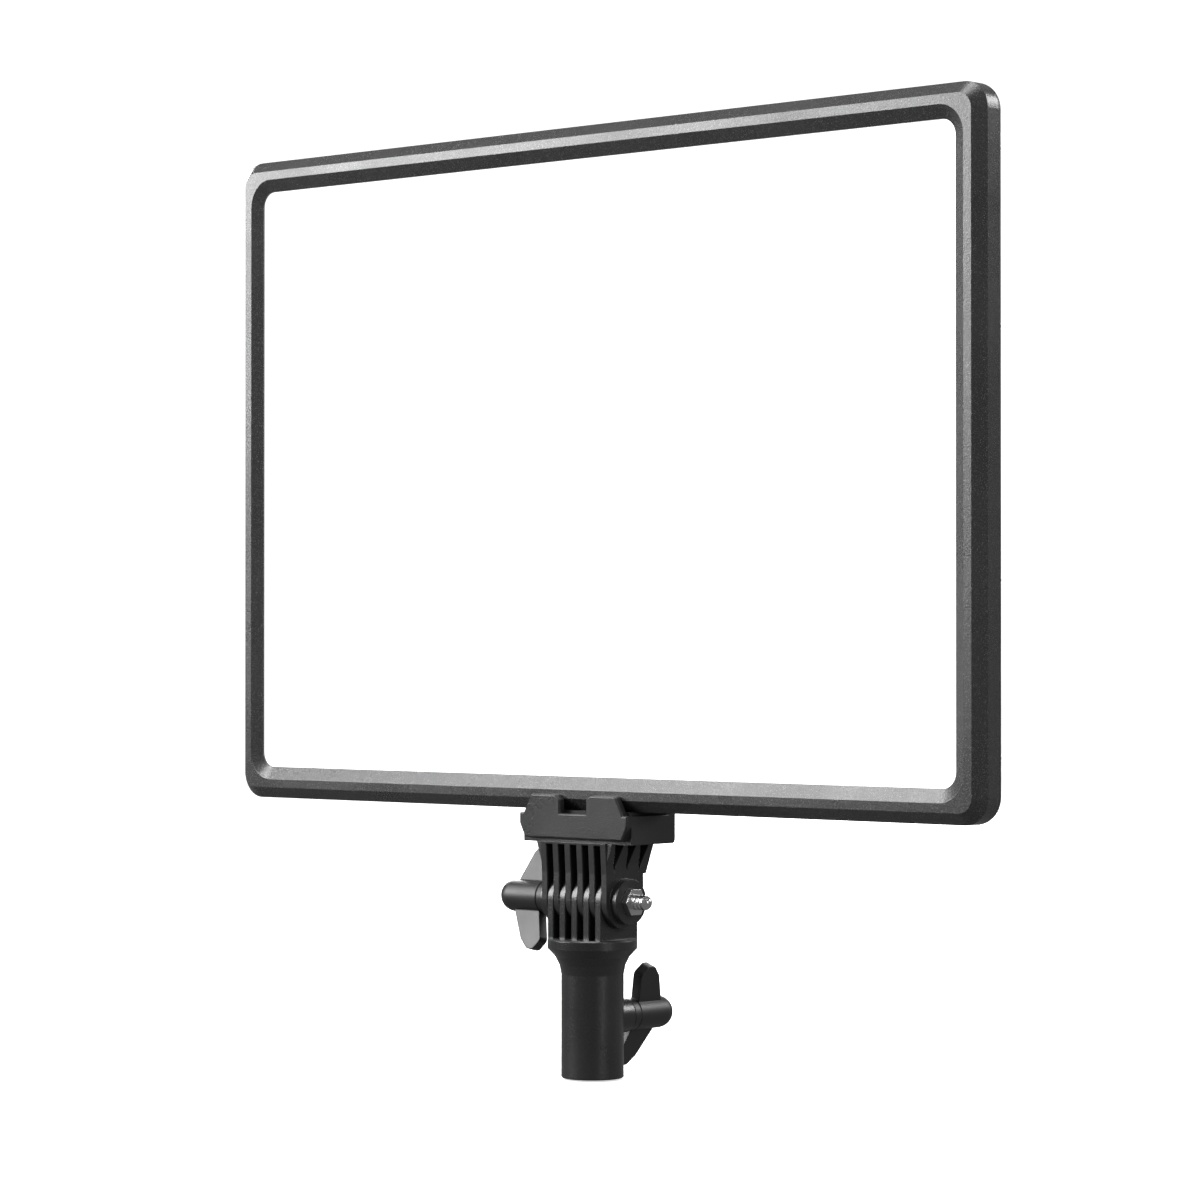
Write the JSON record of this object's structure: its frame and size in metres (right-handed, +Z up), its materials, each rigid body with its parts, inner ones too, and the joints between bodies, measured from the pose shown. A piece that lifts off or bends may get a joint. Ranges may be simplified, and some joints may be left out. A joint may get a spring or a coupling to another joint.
{
  "type": "led panel light",
  "caption": "Slim flat LED panel light with a rear control housing, battery bay, dials, rocker switch and a tilting knuckle on a lockable stand socket.",
  "frame": {"origin": "centre of the mouth of the stand socket, where a stand's spigot enters the adapter", "axes": "+Z up along the socket and the panel's height, -Y the way the light shines, +X to the right seen from in front"},
  "size_m": [0.395, 0.0627, 0.3769],
  "materials": {
    "bezel_black": "fine satin powder coat",
    "shell_charcoal": "fine spark-eroded texture",
    "tray_charcoal": "fine matte",
    "fascia_black": "high gloss",
    "screen_black": "smoked window",
    "knob_black": "satin",
    "switch_black": "semi gloss",
    "diffuser_white": "opal satin",
    "clear_acrylic": "polished",
    "reflector_white": "satin film",
    "strip_white": "solder mask",
    "chip_yellow": "phosphor",
    "board_green": "solder mask",
    "spreader_aluminium": "black anodised",
    "label_grey": "satin foil",
    "contact_metal": "nickel plated",
    "screw_black": "black zinc",
    "steel": "zinc plated",
    "chrome_ring": "bright",
    "knuckle_black": "glass-filled nylon, satin",
    "wing_black": "satin",
    "washer_nylon": "nylon",
    "pad_rubber": "matte",
    "insert_brass": "turned",
    "lens_clear": "clear"
  },
  "bodies": {
    "stand": {"stand_adapter": "knuckle_black", "lock_insert": "insert_brass"},
    "head": {"front_bezel": "bezel_black", "rear_cover": "shell_charcoal", "cover_screws": "screw_black", "diffuser": "diffuser_white", "light_guide": "clear_acrylic", "reflector_sheet": "reflector_white", "led_strips": "strip_white", "led_chips": "chip_yellow", "heat_spreader": "spreader_aluminium", "driver_board": "board_green", "control_housing": "shell_charcoal", "battery_tray": "tray_charcoal", "rating_labels": "label_grey", "contact_block_left": "switch_black", "contact_block_right": "switch_black", "contact_blades": "contact_metal", "tray_screws": "steel", "release_spring": "steel", "control_fascia": "fascia_black", "lcd_window": "screen_black", "lcd_module": "tray_charcoal", "control_board": "board_green", "brightness_encoder": "switch_black", "colour_encoder": "switch_black", "switch_guard": "knob_black", "switch_body": "switch_black", "channel_switch": "switch_black", "indicator_led": "lens_clear", "dc_jack": "switch_black", "dc_jack_ring": "chrome_ring", "dc_jack_pin": "chrome_ring", "tilt_head": "knuckle_black", "cradle_pad": "pad_rubber", "tilt_nut": "steel", "thumb_nut": "steel"},
    "lock_carrier": {"lock_pad": "insert_brass"},
    "lock_knob": {"lock_knob": "wing_black", "lock_screw": "steel"},
    "tilt_carrier": {"tilt_washer": "washer_nylon"},
    "tilt_knob": {"tilt_knob": "wing_black", "tilt_bolt": "steel"},
    "thumb_carrier": {"thumb_washer": "washer_nylon"},
    "thumb_screw": {"thumb_screw": "wing_black", "thumb_stud": "steel"},
    "brightness_knob": {"brightness_knob": "knob_black", "brightness_shaft": "steel"},
    "colour_knob": {"colour_knob": "knob_black", "colour_shaft": "steel"},
    "power_rocker": {"switch_rocker": "switch_black"},
    "channel_button": {"channel_button": "knob_black"},
    "battery_release": {"release_button": "knob_black", "latch_bar": "tray_charcoal"}
  },
  "joints": [
    {"name": "head_tilt", "type": "hinge", "parent": "stand", "child": "head", "pos_m": [0, 0, 0.0703], "axis": [1, 0, 0], "range_deg": [-90, 90]},
    {"name": "tilt_knob_travel", "type": "slide", "parent": "head", "child": "tilt_carrier", "axis": [-1, 0, 0], "range_m": [0, 0.001]},
    {"name": "tilt_knob_turn", "type": "hinge", "parent": "tilt_carrier", "child": "tilt_knob", "pos_m": [-0.0216, 0, 0.0703], "axis": [-1, 0, 0], "range_deg": [0, 360]},
    {"name": "lock_knob_travel", "type": "slide", "parent": "stand", "child": "lock_carrier", "axis": [0, 1, 0], "range_m": [-0.0005, 0.001]},
    {"name": "lock_knob_turn", "type": "hinge", "parent": "lock_carrier", "child": "lock_knob", "pos_m": [0, 0.0189, 0.0234], "axis": [0, 1, 0], "range_deg": [-180, 360]},
    {"name": "thumb_screw_travel", "type": "slide", "parent": "head", "child": "thumb_carrier", "axis": [0, 1, 0], "range_m": [0, 0.002]},
    {"name": "thumb_screw_turn", "type": "hinge", "parent": "thumb_carrier", "child": "thumb_screw", "pos_m": [0, 0.018, 0.1348], "axis": [0, 1, 0], "range_deg": [0, 720]},
    {"name": "brightness_turn", "type": "hinge", "parent": "head", "child": "brightness_knob", "pos_m": [0.0148, 0.01615, 0.207], "axis": [0, -1, 0], "range_deg": [-106, 164]},
    {"name": "colour_turn", "type": "hinge", "parent": "head", "child": "colour_knob", "pos_m": [-0.0326, 0.01615, 0.2069], "axis": [0, -1, 0], "range_deg": [-236, 34]},
    {"name": "rocker_tilt", "type": "hinge", "parent": "head", "child": "power_rocker", "pos_m": [-0.0719, 0.0215, 0.227], "axis": [0, 0, 1], "range_deg": [-9, 9]},
    {"name": "channel_press", "type": "slide", "parent": "head", "child": "channel_button", "axis": [0, -1, 0], "range_m": [0, 0.0008], "stiffness_N_per_m": 1500, "springref_m": -0.0004},
    {"name": "release_press", "type": "slide", "parent": "head", "child": "battery_release", "axis": [0, -1, 0], "range_m": [0, 0.0014], "stiffness_N_per_m": 1200, "springref_m": -0.0006}
  ],
  "couplings": [
    {"joint": "tilt_knob_turn", "follows": "tilt_knob_travel", "rad_per_m": 6283.2},
    {"joint": "lock_knob_turn", "follows": "lock_knob_travel", "rad_per_m": 6283.2},
    {"joint": "thumb_screw_turn", "follows": "thumb_screw_travel", "rad_per_m": 6283.2}
  ]
}
